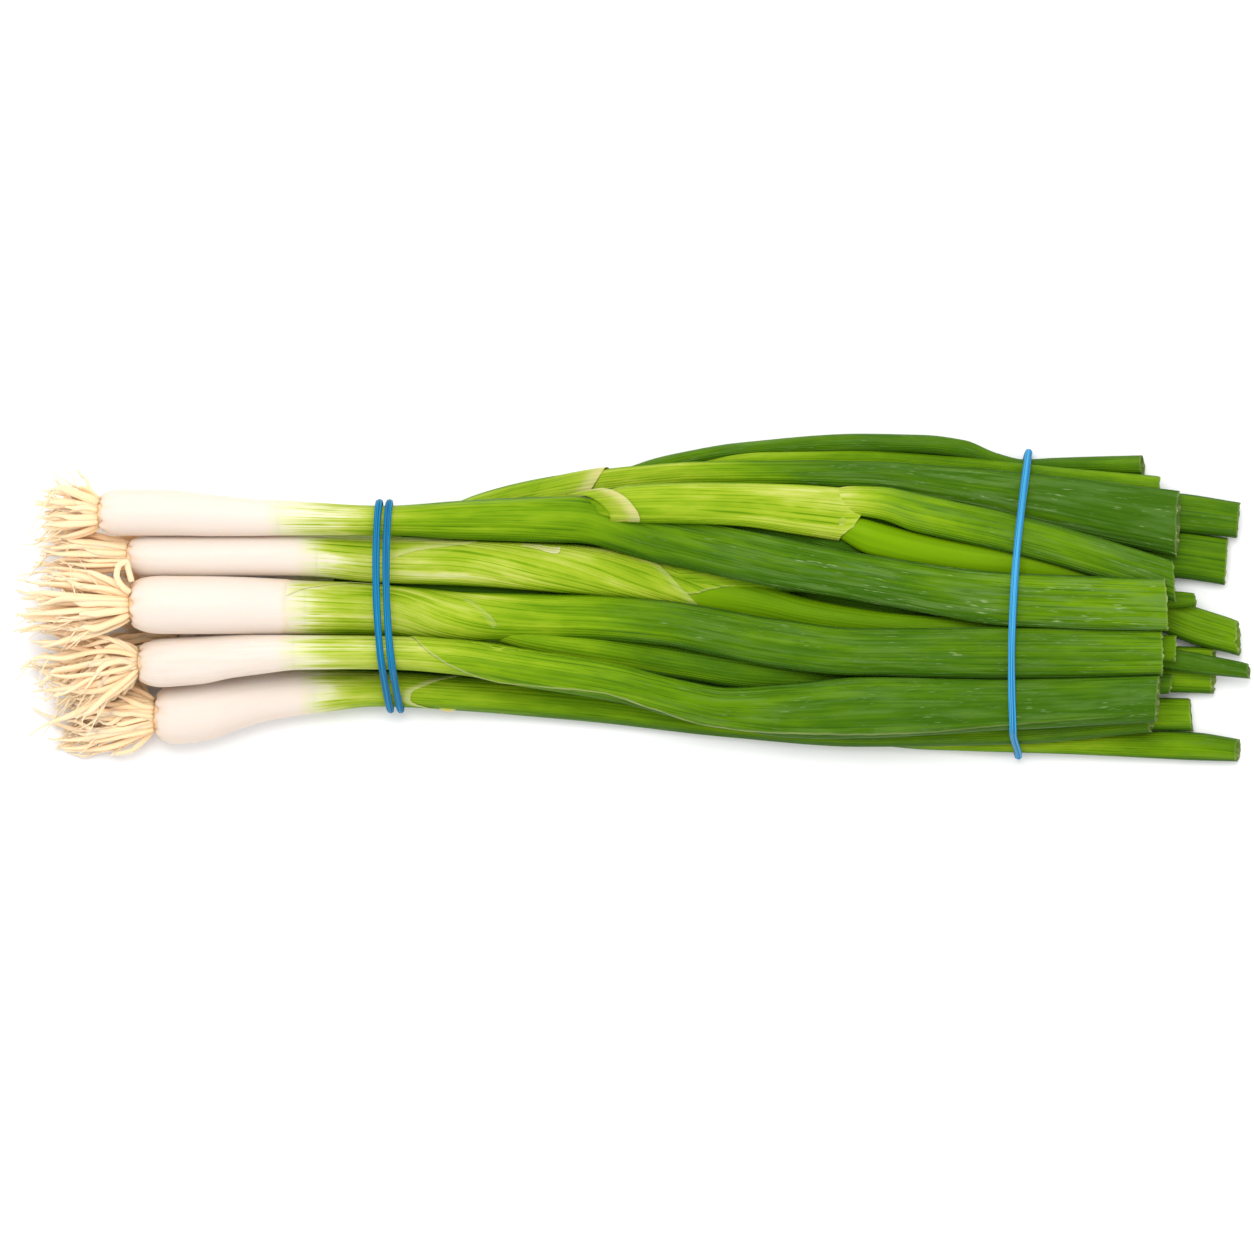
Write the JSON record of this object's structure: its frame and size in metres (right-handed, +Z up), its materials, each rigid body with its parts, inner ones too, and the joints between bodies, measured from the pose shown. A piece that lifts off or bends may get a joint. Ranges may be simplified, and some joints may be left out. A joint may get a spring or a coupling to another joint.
{
  "type": "spring onion bunch",
  "caption": "Trimmed spring onions lying in a bunch, white bulbs with roots at one end and cut green leaves at the other, held by two blue elastic bands.",
  "frame": {"origin": "middle of the bunch's underside, on the surface that it lies on", "axes": "+X along the bunch from the roots to the cut leaf ends, +Y towards its back, +Z up"},
  "size_m": [0.3306, 0.0874, 0.0299],
  "materials": {
    "bulb_white": "smooth, faintly glossy skin",
    "leaf_green": "waxy leaf",
    "root_tan": "dry fibre",
    "band_deep_blue": "satin rubber",
    "band_sky_blue": "satin rubber"
  },
  "bodies": {
    "root": {"onion_1_bulb": "bulb_white", "onion_1_leaves": "leaf_green", "onion_1_roots": "root_tan", "onion_2_bulb": "bulb_white", "onion_2_leaves": "leaf_green", "onion_2_roots": "root_tan", "onion_3_bulb": "bulb_white", "onion_3_leaves": "leaf_green", "onion_3_roots": "root_tan", "onion_4_bulb": "bulb_white", "onion_4_leaves": "leaf_green", "onion_4_roots": "root_tan", "onion_5_bulb": "bulb_white", "onion_5_leaves": "leaf_green", "onion_5_roots": "root_tan", "onion_6_bulb": "bulb_white", "onion_6_leaves": "leaf_green", "onion_6_roots": "root_tan", "onion_7_bulb": "bulb_white", "onion_7_leaves": "leaf_green", "onion_7_roots": "root_tan", "onion_8_bulb": "bulb_white", "onion_8_leaves": "leaf_green", "onion_8_roots": "root_tan", "band_left": "band_deep_blue", "band_right": "band_sky_blue"}
  },
  "joints": []
}
